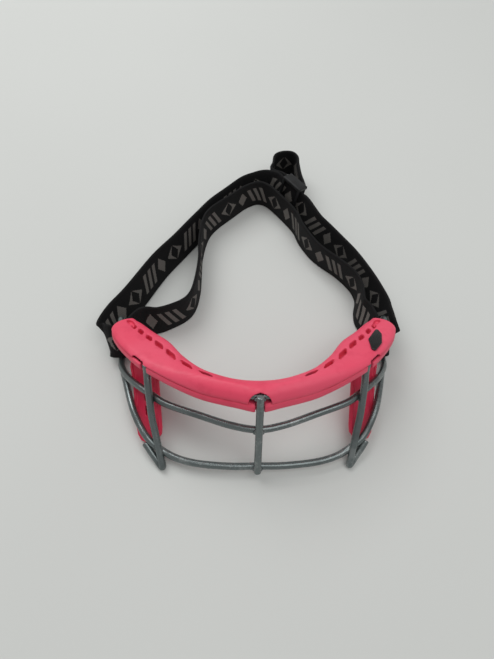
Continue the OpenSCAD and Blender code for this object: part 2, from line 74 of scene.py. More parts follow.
def srgb(red: float, green: float, blue: float) -> Colour:
    """Turns a colour of 0 to 255 as seen on a screen into linear light.

    Args:
        red: Red, 0 to 255.
        green: Green, 0 to 255.
        blue: Blue, 0 to 255.

    Returns:
        Linear red, green, blue and an alpha of 1.
    """

    def linear(value: float) -> float:
        """Undoes the screen curve of one channel."""
        share = value / 255
        return share / 12.92 if share <= 0.04045 else ((share + 0.055) / 1.055) ** 2.4

    return linear(red), linear(green), linear(blue), 1.0


class Signal:
    """A value or colour that comes out of a material's nodes, with arithmetic."""

    def __init__(self, nodes: "NodeBench", socket: bpy.types.NodeSocket) -> None:
        """Keeps the socket and the bench that it belongs to."""
        self.nodes = nodes
        self.socket = socket

    def math(
        self, operation: str, *others: "Signal | float", first: "Signal | float | None" = None
    ) -> "Signal":
        """Adds one Math node.

        Args:
            operation: The Math node's operation.
            others: What goes into the sockets after this value.
            first: What goes in before this value, for reflected forms.

        Returns:
            The node's result.
        """
        values = [self, *others] if first is None else [first, self]
        return self.nodes.add("ShaderNodeMath", {"operation": operation}, dict(enumerate(values)))

    def __add__(self, other: "Signal | float") -> "Signal":
        """This plus another."""
        return self.math("ADD", other)

    def __radd__(self, other: float) -> "Signal":
        """A number plus this."""
        return self.math("ADD", first=other)

    def __sub__(self, other: "Signal | float") -> "Signal":
        """This minus another."""
        return self.math("SUBTRACT", other)

    def __rsub__(self, other: float) -> "Signal":
        """A number minus this."""
        return self.math("SUBTRACT", first=other)

    def __mul__(self, other: "Signal | float") -> "Signal":
        """This times another."""
        return self.math("MULTIPLY", other)

    def __rmul__(self, other: float) -> "Signal":
        """A number times this."""
        return self.math("MULTIPLY", first=other)

    def __truediv__(self, other: "Signal | float") -> "Signal":
        """This divided by another."""
        return self.math("DIVIDE", other)

    def __lt__(self, other: "Signal | float") -> "Signal":
        """One where this is less than the other, and zero elsewhere."""
        return self.math("LESS_THAN", other)

    def __gt__(self, other: "Signal | float") -> "Signal":
        """One where this is greater than the other, and zero elsewhere."""
        return self.math("GREATER_THAN", other)

    def __abs__(self) -> "Signal":
        """This without its sign."""
        return self.math("ABSOLUTE")

    def wave(self) -> "Signal":
        """The sine of this times a full turn."""
        return (self * math.tau).math("SINE")

    def stepped(self, pitch: float) -> "Signal":
        """This held at the middle of cells of one pitch, as threads hold a colour."""
        return (self / pitch).math("FLOOR") * pitch + pitch / 2

    def repeated(self, period: float) -> "Signal":
        """The distance from the start of the last whole period."""
        return self - (self / period).math("FLOOR") * period

    def ramp(self, low: float, high: float) -> "Signal":
        """Rises smoothly from zero at low to one at high."""
        settings = {"interpolation_type": "SMOOTHSTEP"}
        inputs = {"Value": self, "From Min": low, "From Max": high}
        return self.nodes.add("ShaderNodeMapRange", settings, inputs)


class NodeBench:
    """Adds and links the nodes of one material."""

    def __init__(self, name: str) -> None:
        """Makes an empty material with that name."""
        self.material = bpy.data.materials.new(name)
        self.material.use_nodes = True
        self.tree = self.material.node_tree
        self.tree.nodes.clear()

    def add(
        self,
        kind: str,
        settings: dict[str, object] | None = None,
        inputs: dict[str | int, object] | None = None,
        output: str | int = 0,
    ) -> Signal:
        """Adds any node.

        Args:
            kind: The node's type.
            settings: The node's own settings, set first; stops are a ramp's places and colours.
            inputs: Values or signals by socket name or number.
            output: The socket that is handed back.

        Returns:
            The node's output as a signal.
        """
        node = self.tree.nodes.new(kind)
        for name, value in (settings or {}).items():
            if name == "stops":
                self.set_stops(node, value)
            else:
                setattr(node, name, value)
        for key, value in (inputs or {}).items():
            socket = node.inputs[key]
            if isinstance(value, Signal):
                self.tree.links.new(value.socket, socket)
            else:
                socket.default_value = value
        return Signal(self, node.outputs[output])

    @staticmethod
    def set_stops(node: bpy.types.Node, stops: Sequence[tuple[float, Sequence[float]]]) -> None:
        """Gives a colour ramp its stops."""
        elements = node.color_ramp.elements
        while len(elements) > 1:
            elements.remove(elements[-1])
        elements[0].position, elements[0].color = stops[0]
        for place, colour in stops[1:]:
            elements.new(place).color = colour

    def object_point(self) -> Signal:
        """The point on the object, in metres."""
        return self.add("ShaderNodeTexCoord", output="Object")

    def part(self, vector: Signal, axis: str) -> Signal:
        """One axis of a vector signal."""
        return self.add("ShaderNodeSeparateXYZ", inputs={0: vector}, output=axis)

    def cloth_point(self) -> tuple[Signal, Signal]:
        """Across and along the webbing, in metres, from its own UV map."""
        point = self.add("ShaderNodeUVMap", {"uv_map": "UVMap"})
        return self.part(point, "X"), self.part(point, "Y")

    def cloud(self, point: Signal, scale: float, detail: float = 2.0, output: str = "Fac") -> Signal:
        """Soft noise of one scale, counted per metre."""
        inputs = {"Vector": point, "Scale": scale, "Detail": detail}
        return self.add("ShaderNodeTexNoise", inputs=inputs, output=output)

    def blend(self, factor: Signal | float, first: object, second: object) -> Signal:
        """Mixes two colours by a factor."""
        return self.add("ShaderNodeMix", {"data_type": "RGBA"}, {0: factor, 6: first, 7: second}, output=2)

    def relief(self, height: Signal, depth: float, under: Signal | None = None) -> Signal:
        """Turns a height of 0 to 1 into a bumped normal, that many metres deep."""
        inputs: dict[str | int, object] = {"Height": height, "Distance": depth, "Strength": 1.0}
        if under is not None:
            inputs["Normal"] = under
        return self.add("ShaderNodeBump", inputs=inputs)

    def finish(self, inputs: dict[str | int, object]) -> bpy.types.Material:
        """Adds the surface shader and the output.

        Args:
            inputs: Values or signals of the surface shader's sockets.

        Returns:
            The finished material.
        """
        shader = self.add("ShaderNodeBsdfPrincipled", inputs=inputs)
        output = self.tree.nodes.new("ShaderNodeOutputMaterial")
        self.tree.links.new(shader.socket, output.inputs["Surface"])
        return self.material


@dataclass(frozen=True)
class CoatedWire:
    """Grey powder coat on steel rod, with an orange-peel skin and rubbed spots."""

    coat: Colour = srgb(104, 112, 112)
    rubbed: Colour = srgb(142, 147, 146)
    grime: Colour = srgb(68, 72, 72)
    peel_scale: float = 1400.0
    peel_depth: float = 0.00005

    def material(self) -> bpy.types.Material:
        """Builds the coated wire material."""
        bench = NodeBench("coated_wire")
        point = bench.object_point()
        patches = bench.cloud(point, 55.0, 4.0)
        fine = bench.cloud(point, 420.0, 3.0)
        peel = bench.cloud(point, self.peel_scale, 1.0)
        worn = (patches * 0.7 + fine * 0.3).ramp(0.56, 0.66)
        dull = (1.0 - patches).ramp(0.5, 0.68)
        colour = bench.blend(worn * 0.55, self.coat, self.rubbed)
        colour = bench.blend(dull * 0.5, colour, self.grime)
        rough = 0.2 + fine * 0.12 + dull * 0.12
        return bench.finish(
            {
                "Base Color": colour,
                "Metallic": 0.75,
                "Roughness": rough,
                "Normal": bench.relief(peel, self.peel_depth),
                "Coat Weight": 0.3,
                "Coat Roughness": 0.14,
            }
        )


@dataclass(frozen=True)
class MouldedPink:
    """Bright pink moulded rubber, matt, with a fine eggshell grain and faint scuffs."""

    name: str = "pink_moulding"
    body: Colour = srgb(222, 66, 95)
    faded: Colour = srgb(227, 90, 115)
    deep: Colour = srgb(200, 42, 74)
    grain_scale: float = 2600.0
    grain_depth: float = 0.00004
    rough: float = 0.5

    def material(self) -> bpy.types.Material:
        """Builds the pink material."""
        bench = NodeBench(self.name)
        point = bench.object_point()
        broad = bench.cloud(point, 16.0, 3.0)
        mottle = bench.cloud(point, 130.0, 4.0)
        grain = bench.cloud(point, self.grain_scale, 1.0)
        stretched = bench.add("ShaderNodeMapping", inputs={"Vector": point, "Scale": (1.0, 4.0, 4.0)})
        scuffs = bench.cloud(stretched, 220.0, 5.0)
        colour = bench.blend(broad.ramp(0.42, 0.7) * 0.5, self.body, self.faded)
        colour = bench.blend(mottle.ramp(0.5, 0.72) * 0.3, colour, self.deep)
        rough = self.rough + scuffs.ramp(0.5, 0.66) * 0.14 - mottle * 0.06
        height = grain * 0.6 + scuffs.ramp(0.56, 0.62) * 0.4
        return bench.finish(
            {
                "Base Color": colour,
                "Roughness": rough,
                "Specular IOR Level": 0.42,
                "Normal": bench.relief(height, self.grain_depth),
            }
        )


@dataclass(frozen=True)
class GlossPlate:
    """Glossy black plastic of the bare plate."""

    def material(self) -> bpy.types.Material:
        """Builds the plate material."""
        bench = NodeBench("plate_plastic")
        point = bench.object_point()
        haze = bench.cloud(point, 300.0, 4.0)
        specks = bench.cloud(point, 1500.0, 1.0)
        colour = bench.blend(haze.ramp(0.45, 0.7), srgb(7, 7, 8), srgb(15, 15, 16))
        return bench.finish(
            {
                "Base Color": colour,
                "Roughness": 0.2 + haze * 0.14,
                "Specular IOR Level": 0.3,
                "Normal": bench.relief(specks, 0.00001),
                "Coat Weight": 0.3,
                "Coat Roughness": 0.08,
            }
        )


@dataclass(frozen=True)
class SliderPlastic:
    """Charcoal moulded plastic of the tri-glide."""

    def material(self) -> bpy.types.Material:
        """Builds the slider material."""
        bench = NodeBench("slider_plastic")
        point = bench.object_point()
        haze = bench.cloud(point, 260.0, 4.0)
        grain = bench.cloud(point, 3200.0, 1.0)
        colour = bench.blend(haze.ramp(0.4, 0.7), srgb(15, 16, 17), srgb(27, 28, 29))
        return bench.finish(
            {
                "Base Color": colour,
                "Roughness": 0.4 + haze * 0.16,
                "Specular IOR Level": 0.35,
                "Normal": bench.relief(grain, 0.00003),
            }
        )


@dataclass(frozen=True)
class WovenWebbing:
    """Near-black elastic webbing with a woven grey motif of lozenges and slanted bars."""

    width: float = 24 * MM
    rib: float = 0.85 * MM
    column: float = 1.0 * MM
    repeat: float = 46 * MM
    motif_height: float = 13 * MM
    big_lozenge: Point = (9 * MM, 7.5 * MM, 3.6 * MM)
    small_lozenge: Pair = (40.5 * MM, 4.2 * MM)
    bars_start: float = 20 * MM
    bar_count: int = 3
    bar_pitch: float = 5.2 * MM
    bar_width: float = 2.9 * MM
    bar_slant: float = 0.42
    # The lighter ground and darker thread tones follow the weave height: painted highlight on the rib crests
    # and painted shade between them.
    ground: Colour = srgb(7, 7, 8)
    ground_crest_lit_and_fuzz: Colour = srgb(22, 22, 23)
    thread: Colour = srgb(124, 120, 115)
    thread_valley_shade: Colour = srgb(96, 93, 90)

    def lozenge(self, across: Signal, along: Signal, middle: float, half: float) -> Signal:
        """One inside a lozenge that stands across the webbing."""
        reach = abs(along - middle) / half + abs(across) / (self.motif_height / 2)
        return reach < 1.0

    def bars(self, across: Signal, along: Signal) -> Signal:
        """One inside the group of slanted bars."""
        slant = along - self.bars_start - across * self.bar_slant
        group_end = (self.bar_count - 1) * self.bar_pitch + self.bar_width
        inside = (slant.repeated(self.bar_pitch) < self.bar_width) * (slant > 0.0) * (slant < group_end)
        return inside * (abs(across) < self.motif_height / 2)

    def motif(self, across: Signal, along: Signal) -> Signal:
        """One where the grey thread shows on the face."""
        held_across = across.stepped(self.column * 0.5)
        held_along = along.stepped(self.rib * 0.5).repeated(self.repeat)
        middle, outer_half, inner_half = self.big_lozenge
        outer = self.lozenge(held_across, held_along, middle, outer_half)
        inner = self.lozenge(held_across, held_along, middle, inner_half)
        small = self.lozenge(held_across, held_along, *self.small_lozenge)
        return outer - inner + small + self.bars(held_across, held_along)

    def material(self) -> bpy.types.Material:
        """Builds the webbing material."""
        bench = NodeBench("webbing")
        across, along = bench.cloth_point()
        point = bench.object_point()
        shown = self.motif(across, along)
        ribs = (along / self.rib).wave() * 0.5 + 0.5
        columns = (across / self.column).wave() * 0.5 + 0.5
        weave = ribs * (0.45 + columns * 0.55)
        fuzz = bench.cloud(point, 1800.0, 3.0)
        wear = bench.cloud(point, 60.0, 4.0)
        # Lighter on the raised ribs and darker between them, painted highlight and shade of the weave relief;
        # the fuzz adds random lighter fibres.
        ground = bench.blend(weave * 0.5 + fuzz.ramp(0.4, 0.8) * 0.5, self.ground, self.ground_crest_lit_and_fuzz)
        thread = bench.blend(weave, self.thread_valley_shade, self.thread)
        colour = bench.blend(shown * (0.82 + wear * 0.3), ground, thread)
        edge = abs(across).ramp(self.width / 2 - 1.3 * MM, self.width / 2 - 0.5 * MM)
        height = weave * 0.7 + fuzz * 0.3 + shown * 0.15 - edge * 0.3
        return bench.finish(
            {
                "Base Color": colour,
                "Roughness": 0.78 + fuzz * 0.16,
                "Specular IOR Level": 0.3,
                "Normal": bench.relief(height, 0.00022),
            }
        )


@dataclass(frozen=True)
class TableTop:
    """Plain pale floor."""

    tone: Colour = srgb(204, 206, 203)

    def material(self) -> bpy.types.Material:
        """Builds the floor material."""
        bench = NodeBench("table_top")
        point = bench.object_point()
        broad = bench.cloud(point, 3.0, 2.0)
        colour = bench.blend(broad.ramp(0.35, 0.65) * 0.12, self.tone, srgb(190, 192, 189))
        return bench.finish({"Base Color": colour, "Roughness": 0.75, "Specular IOR Level": 0.2})


def clear_selection() -> None:
    """Leaves nothing selected."""
    bpy.ops.object.select_all(action="DESELECT")


def take(obj: bpy.types.Object) -> None:
    """Selects one object alone and makes it active."""
    clear_selection()
    obj.select_set(True)
    bpy.context.view_layer.objects.active = obj


def in_edit_mode(obj: bpy.types.Object, work: Callable[[], None]) -> None:
    """Runs some operators on all of an object's mesh in edit mode."""
    take(obj)
    bpy.ops.object.mode_set(mode="EDIT")
    bpy.ops.mesh.select_all(action="SELECT")
    work()
    bpy.ops.object.mode_set(mode="OBJECT")


def modify(obj: bpy.types.Object, kind: str, **settings: object) -> None:
    """Adds one modifier with its settings and applies it."""
    take(obj)
    modifier = obj.modifiers.new(kind.title(), kind)
    for name, value in settings.items():
        setattr(modifier, name, value)
    bpy.ops.object.modifier_apply(modifier=modifier.name)


def settle(obj: bpy.types.Object, name: str) -> bpy.types.Object:
    """Names a piece and puts its place into its mesh."""
    take(obj)
    bpy.ops.object.transform_apply(location=True, rotation=True, scale=True)
    obj.name = name
    obj.data.name = name
    return obj


def copy_node(node: str, name: str) -> bpy.types.Object:
    """Makes a piece from a merged copy of a CAD node's mesh.

    Args:
        node: The CAD node's name.
        name: The new piece's name.

    Returns:
        The new object, with its loose triangles joined.
    """
    obj = bpy.data.objects.new(name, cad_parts[node].data.copy())
    bpy.context.scene.collection.objects.link(obj)
    obj.data.name = name

    def join() -> None:
        """Merges the loose corners."""
        bpy.ops.mesh.customdata_custom_splitnormals_clear()
        bpy.ops.mesh.remove_doubles(threshold=NODE_MERGE)

    in_edit_mode(obj, join)
    return obj


def skin(name: str, rings: Rings, loop: bool = False) -> bpy.types.Object:
    """Lays a grid primitive over a stack of equal rings and closes it.

    Args:
        name: The piece's name.
        rings: Points round each ring, in metres.
        loop: True where the last ring meets the first.

    Returns:
        A closed mesh object with a UV map that still counts rows and columns.
    """
    rows = rings + [rings[0]] if loop else rings
    around = len(rings[0])
    clear_selection()
    bpy.ops.mesh.primitive_grid_add(x_subdivisions=around, y_subdivisions=len(rows) - 1, size=1.0)
    obj = bpy.context.object
    places = [ring[i % around] for ring in rows for i in range(around + 1)]
    obj.data.vertices.foreach_set("co", [value for place in places for value in place])

    def close() -> None:
        """Joins the seams and fills the ends."""
        bpy.ops.mesh.remove_doubles(threshold=SEAM_MERGE)
        bpy.ops.mesh.select_all(action="DESELECT")
        bpy.ops.mesh.select_non_manifold(extend=False)
        if not loop:
            bpy.ops.mesh.fill_holes(sides=0)
        bpy.ops.mesh.select_all(action="SELECT")
        bpy.ops.mesh.normals_make_consistent(inside=False)

    in_edit_mode(obj, close)
    return settle(obj, name)


def scale_map(obj: bpy.types.Object, along: Sequence[float], across: Sequence[float]) -> None:
    """Turns the UV map of a skin from rows and columns into metres.

    Args:
        obj: A piece made by skin().
        along: The distance along the piece at each row.
        across: The place across the piece at each column.
    """
    layer = obj.data.uv_layers.active
    layer.name = "UVMap"
    values = [0.0] * (2 * len(layer.data))
    layer.data.foreach_get("uv", values)
    for i in range(0, len(values), 2):
        column = round(values[i] * (len(across) - 1))
        row = round(values[i + 1] * (len(along) - 1))
        values[i] = across[column]
        values[i + 1] = along[row]
    layer.data.foreach_set("uv", values)


def dress(
    obj: bpy.types.Object, material: bpy.types.Material, slot: Slot, body: Body, replaced: Sequence[str]
) -> bpy.types.Object:
    """Gives a piece its finish and its body, and hides the nodes that it stands for."""
    obj.data.materials.clear()
    obj.data.materials.append(material)
    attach(obj, body.value)
    if replaced:
        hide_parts(*replaced)
    LOG.info("%s: %d faces", obj.name, len(obj.data.polygons))
    return obj


def smooth_shade(obj: bpy.types.Object, angle: float | None = None) -> None:
    """Shades a piece smooth, all over or up to an angle in degrees."""
    take(obj)
    if angle is None:
        bpy.ops.object.shade_smooth()
    else:
        bpy.ops.object.shade_smooth_by_angle(angle=math.radians(angle))


def soften(obj: bpy.types.Object, voxel: float, turns: int) -> None:
    """Remeshes a piece finely and smooths it, so that every edge is slightly round."""
    modify(obj, "REMESH", mode="VOXEL", voxel_size=voxel, adaptivity=0.0)
    modify(obj, "SMOOTH", factor=0.5, iterations=turns)
    smooth_shade(obj)


def rounded_copy(node: str, name: str, width: float, segments: int) -> bpy.types.Object:
    """Makes a piece from a CAD node, with its sharp edges rounded to a width in metres."""
    obj = copy_node(node, name)
    in_edit_mode(obj, lambda: bpy.ops.mesh.dissolve_limited(angle_limit=math.radians(2)))
    modify(obj, "BEVEL", width=width, segments=segments, limit_method="ANGLE")
    smooth_shade(obj, 40)
    return obj


def eased(value: float, start: float, span: float) -> float:
    """Zero up to a start, one past a span after it, and smooth between."""
    past = min(max((value - start) / span, 0.0), 1.0)
    return past * past * (3 - 2 * past)


def square_to(axis: Vector) -> tuple[Vector, Vector]:
    """The sideways and the backward direction that are square to a strap bar."""
    across = (Vector((1, 0, 0)) - axis * axis.x).normalized()
    return across, axis.cross(across)


def catmull(points: Sequence[Vector], place: float, loop: bool = False) -> Vector:
    """A point on the smooth curve through a list of points.

    Args:
        points: The points that the curve goes through.
        place: How far along, counted in points.
        loop: True where the last point is followed by the first.

    Returns:
        The point on the curve.
    """
    count = len(points)
    whole = math.floor(place)
    if not loop:
        whole = min(max(whole, 0), count - 2)
    t = place - whole
    near = []
    for step in (-1, 0, 1, 2):
        i = whole + step
        near.append(points[i % count] if loop else points[min(max(i, 0), count - 1)])
    a, b, c, d = near
    return 0.5 * (2 * b + (c - a) * t + (2 * a - 5 * b + 4 * c - d) * t * t + (3 * b - a - 3 * c + d) * t**3)


@dataclass(frozen=True)
class Lie:
    """How the worn guard lies tipped back on the table, in millimetres and degrees."""

    tilt: float = 25.0
    side: float = 3.0
    front: float = -122.4
    lift: float = 2.11

    def direction(self, u: float, v: float, w: float) -> Vector:
        """A worn direction as it lies on the table."""
        c = math.cos(math.radians(self.tilt))
        s = math.sin(math.radians(self.tilt))
        return Vector((u, v * c + w * s, w * c - v * s))

    def point(self, u: float, v: float, w: float) -> Vector:
        """A worn point in millimetres as it lies on the table, in metres."""
        return (Vector((self.side, self.front, self.lift)) + self.direction(u, v, w)) * MM


LIE = Lie()
BAR_TOP = Vector((86.3, 77.2, 54))
BAR_FOOT = Vector((87.5, 71, 38))
BAR_MIDDLE: Point = (86.9, 74.1, 46)


@dataclass
class RodCage:
    """The welded cage: an upper ring, a lower ring, three uprights and their weld beads."""

    rods: tuple[tuple[str, str], ...] = (
        ("upper_ring_wire", "ring_rod_upper"),
        ("lower_ring_wire", "ring_rod_lower"),
        ("left_upright", "upright_rod_left"),
        ("right_upright", "upright_rod_right"),
    )
    facet_loss: float = 0.14 * MM
    bead_size: float = 1.4 * MM
    lump_scale: float = 900
    ripple_scale: float = 2200

    def rod(self, node: str, name: str) -> bpy.types.Object:
        """Rounds a copy of one bent rod."""
        obj = copy_node(node, name)

        flat, skewed = math.radians(25), math.radians(120)

        def square_up() -> None:
            """Pairs the triangles of each facet."""
            bpy.ops.mesh.tris_convert_to_quads(face_threshold=flat, shape_threshold=skewed)

        in_edit_mode(obj, square_up)
        modify(obj, "SUBSURF", levels=2, render_levels=2)
        in_edit_mode(obj, lambda: bpy.ops.transform.shrink_fatten(value=self.facet_loss))
        smooth_shade(obj)
        return obj

    def straight_rod(self, node: str, name: str) -> bpy.types.Object:
        """Rounds the cut ends of a copy of a straight rod."""
        obj = copy_node(node, name)
        in_edit_mode(obj, lambda: bpy.ops.mesh.dissolve_limited(angle_limit=math.radians(1)))
        modify(obj, "BEVEL", width=0.7 * MM, segments=4, limit_method="ANGLE", angle_limit=math.radians(50))
        smooth_shade(obj, 35)
        return obj

    def bead_places(self) -> list[Vector]:
        """The middle of each weld bead, read from the CAD node's separate spheres."""
        obj = copy_node("weld_beads", "bead_finder")
        take(obj)
        bpy.ops.mesh.separate(type="LOOSE")
        parts = list(bpy.context.selected_objects)
        places = []
        for part in parts:
            corners = [vertex.co for vertex in part.data.vertices]
            places.append(sum(corners, Vector()) / len(corners))
        for part in parts:
            bpy.data.objects.remove(part)
        return sorted(places, key=lambda p: (round(p.x, 4), round(p.y, 4), round(p.z, 4)))

    def beads(self) -> bpy.types.Object:
        """Lays a lumpy bead at each weld."""
        made = []
        for i, place in enumerate(self.bead_places()):
            clear_selection()
            bpy.ops.mesh.primitive_ico_sphere_add(subdivisions=4, radius=self.bead_size, location=place)
            bead = bpy.context.object
            for vertex in bead.data.vertices:
                lump = noise.noise(vertex.co * self.lump_scale + Vector((i * 7.3, 0, 0)))
                ripple = noise.noise(vertex.co * self.ripple_scale + Vector((0, i * 5.1, 0)))
                vertex.co *= 0.94 + 0.16 * lump + 0.05 * ripple
            made.append(bead)
        for bead in made:
            bead.select_set(True)
        bpy.context.view_layer.objects.active = made[0]
        bpy.ops.object.join()
        obj = settle(bpy.context.object, "weld_lumps")
        smooth_shade(obj)
        return obj

    def build(self, material: bpy.types.Material) -> list[bpy.types.Object]:
        """Builds and dresses the cage.

        Args:
            material: The coated wire finish.

        Returns:
            The rods that the mouldings are grooved for: the upper ring and the three uprights.
        """
        made = []
        for node, name in self.rods:
            obj = self.rod(node, name)
            dress(obj, material, Slot.WIRE, Body.GUARD, [node])
            if node != "lower_ring_wire":
                made.append(obj)
        upright = self.straight_rod("centre_upright", "upright_rod_centre")
        dress(upright, material, Slot.WIRE, Body.GUARD, ["centre_upright"])
        dress(self.beads(), material, Slot.WIRE, Body.GUARD, ["weld_beads"])
        return made + [upright]


@dataclass
class BrowMoulding:
    """The two-part brow: a vented upper shell, a lip under the top wire and a pad behind it."""

    top_wire: float = 57.5
    crown: float = 5.4
    wall: float = 1.8
    low: float = -2.6
    rim_low: float = -3.0
    rim_high: float = 2.3
    flange_low: float = -8.0
    flange_high: float = -2.6
    roof: float = -1.5
    rear_low: float = 0.4
    wire_room: float = 8.0
    parting: float = 0.5
    lip_drop: float = 7.2
    lip_gap: float = 3.3
    rod_radius: float = 2.15
    seat: float = 0.3
    vent_width: float = 3.3
    vent_stretch: float = 1.28
    vent_slant: float = 0.5
    vent_floor: float = 0.8
    arch_radius: float = 5.9
    arch_width: float = 1.05
    arch_depth: float = 14
    arch_drop: float = 2.1
    doorway_low: float = -10
    wire_depth: float = 4.3
    pocket_depth: float = 2.6
    pocket_spot: Pair = (7.7, 0.68)
    temple_step: float = 3.2
    upright_spot: Pair = (63.9, 29.7)
    upright_turn: float = 44
    notch_spot: Pair = (68.1, 33.0)
    notch_low: float = -7.5
    notch_height: float = 11.2
    channel_low: float = -14
    channel_height: float = 20
    room_reach: float = 6.75
    room_outboard: float = 7.0
    room_half_width: float = 12.4
    room_extra_low: float = 3.4
    stations: float = 9.0
    fineness: int = 12
    voxel: float = 0.5 * MM
    front: list[Pair] = field(
        default_factory=lambda: [
            (0, -0.4), (13, 3.2), (26, 7.4), (39, 12.6), (53, 19.4),
            (66, 28.2), (78, 41.5), (86, 53.5), (89, 61.5), (88.4, 65.8),
        ]
    )
    rear: list[Pair] = field(
        default_factory=lambda: [
            (0, 14.2), (11, 15.3), (21.5, 18.9), (32.5, 25.2), (43, 36),
            (52, 49), (62.5, 59), (70, 67), (74, 70.4), (77.6, 72.8),
        ]
    )
    vents: tuple[tuple[float, float, float, float], ...] = (
        (2.55, 0.66, 11, 0.72),
        (3.5, 0.68, 11, 0.82),
        (4.35, 0.67, 11.5, 1),
        (5.1, 0.67, 9.5, 0.97),
        (5.7, 0.68, 7, 0.94),
        (6.3, 0.68, 6.4, 0.94),
        (6.9, 0.66, 5.4, 0.85),
    )

    def edge(self, half: Sequence[Pair], station: float) -> Vector:
        """A point of the front or rear edge, counted in stations from the nose."""
        whole = [Vector((-u, v, 0)) for u, v in reversed(half[1:])] + [Vector((u, v, 0)) for u, v in half]
        return catmull(whole, station + self.stations)

    def depth(self, station: float) -> float:
        """The distance from the front edge to the rear edge."""
        return (self.edge(self.rear, station) - self.edge(self.front, station)).length

    def section(self, station: float, outline: Sequence[Pair]) -> list[Vector]:
        """One cross section in metres, from places given as depth and height."""
        first = self.edge(self.front, station)
        inward = (self.edge(self.rear, station) - first).normalized()
        ring = []
        for s, h in outline:
            p = first + inward * s
            ring.append(LIE.point(p.x, p.y, self.top_wire + h))
        return ring

    @staticmethod
    def rounded(outline: Sequence[Pair], steps: int) -> list[Pair]:
        """A smooth open line through an outline's points."""
        points = [Vector((s, h, 0)) for s, h in outline]
        count = (len(points) - 1) * steps
        line = [catmull(points, i / steps) for i in range(count + 1)]
        return [(p.x, p.y) for p in line]

    def end_share(self, station: float) -> float:
        """Share of the full height left near each end, so that the ends round over."""
        past = max(0.0, (abs(station) - self.stations + 0.5) / 0.5)
        return 0.72 + 0.28 * math.sqrt(max(0.0, 1 - past * past))

    def base(self, station: float) -> float:
        """Height of the lower rim, which steps up at each temple over the webbing."""
        return self.low + self.temple_step * eased(abs(station), self.stations - 1.0, 0.7)

    def shell_outline(self, station: float) -> list[Pair]:
        """The shell's cross section: over the outside and back along the hollow over the wire."""
        d = self.depth(station)
        k = self.end_share(station)
        b = self.base(station)
        f = self.rise(station, self.rim_low, self.rim_high)
        rise = (self.crown - b) * k
        front = (self.crown - f) * k
        outer = [
            (0.1, f), (-0.2, f + 0.14 * front), (0.2, f + 0.36 * front), (1.7, f + 0.7 * front),
            (4.2, f + 0.94 * front), (d * 0.5, b + rise), (d - 4.4, b + 0.94 * rise),
            (d - 1.6, b + 0.81 * rise), (d - 0.2, b + 0.62 * rise),
            (d, b + max(self.rear_low - b, 1.2) * k), (d - 0.4, b),
        ]
        t = self.wall
        room = self.wire_room
        roof = b + max(self.roof - b, 0.6) * k
        top = f + (self.crown - t - f) * k
        inner = [
            (d - t, b), (d - t, (b + roof) / 2), (d - t - 1.2, roof), (room + 1, roof), (room, roof + 0.5),
            (room - 0.4, top - 0.8), (room - 1.4, top), (t + 2.4, top),
            (t + 0.6, f + 0.6 * (top - f)), (t, f),
        ]
        return self.rounded(outer, 4) + self.rounded(inner, 3)

    @staticmethod
    def rise(station: float, low: float, high: float) -> float:
        """A height that is low over the nose and high towards the temples."""
        return low + (high - low) * eased(abs(station), 2.2, 2.8)

    def lip_outline(self, station: float) -> list[Pair]:
        """The lip's cross section: a strip in front of the top wire and a shelf under it."""
        t = self.rod_radius + self.seat
        d = self.lip_depth(station)
        g = self.lip_gap
        top = self.rise(station, self.rim_low, self.rim_high) - self.parting
        low = self.rise(station, self.flange_low, self.flange_high)
        deep = max(self.lip_drop, 0.2 - low)
        step = deep + low
        outline = [
            (0.1, top), (-0.2, top - 0.7), (-0.25, low + 1.2), (0.3, low + 0.1), (1.5, low - 0.3),
            (2.5, low - 0.3 - 0.3 * step), (g, low - 0.75 * step), (g + 0.9, -deep), (d - 1.4, -deep),
            (d, -deep + 1.2), (d, -t - 1.2), (d - 0.8, -t - 0.3), (g + 1.4, -t - 0.3), (2.2, -t - 0.3),
            (1.9, max(top - 0.8, -t)), (1.8, max(top, -t + 0.2)),
        ]
        return self.rounded(outline + [outline[0]], 3)[:-1]

    def lip_depth(self, station: float) -> float:
        """How far back the lip reaches from the front edge."""
        return min(self.depth(station) * 0.55, 12) + 0.6

    def rings(self, reach: float, outline: Callable[[float], list[Pair]]) -> Rings:
        """Cross sections from one end of the moulding to the other."""
        count = round(2 * reach * self.fineness)
        stops = [-reach + 2 * reach * i / count for i in range(count + 1)]
        return [self.section(s, outline(s)) for s in stops]

    def spot(self, station: float, share: float, height: float) -> Vector:
        """A worn point in millimetres, between the front and rear edges."""
        p = self.edge(self.front, station).lerp(self.edge(self.rear, station), share)
        return Vector((p.x, p.y, self.top_wire + height))

    def heading(self, station: float, share: float) -> float:
        """The level angle of the moulding at a station."""
        run = self.spot(station + 0.1, share, 0) - self.spot(station - 0.1, share, 0)
        return math.atan2(run.y, run.x)

    @staticmethod
    def cutter(
        outline: Sequence[Pair], height: float, place: Vector, turn: float, side: int, round_off: float
    ) -> bpy.types.Object:
        """A prism with rounded corners to cut with.

        Args:
            outline: Corners in plan, in millimetres.
            height: Height in millimetres.
            place: The worn point that it stands on, in millimetres.
            turn: Its level angle in radians.
            side: 1 for the right of the face, -1 for its mirror image.
            round_off: Radius of its upright corners in millimetres.

        Returns:
            The cutter, in place on the table.
        """
        clear_selection()
        bpy.ops.mesh.primitive_circle_add(vertices=len(outline), radius=1.0, fill_type="NGON")
        obj = bpy.context.object
        for vertex, (x, y) in zip(obj.data.vertices, outline):
            vertex.co = (x, y, 0)

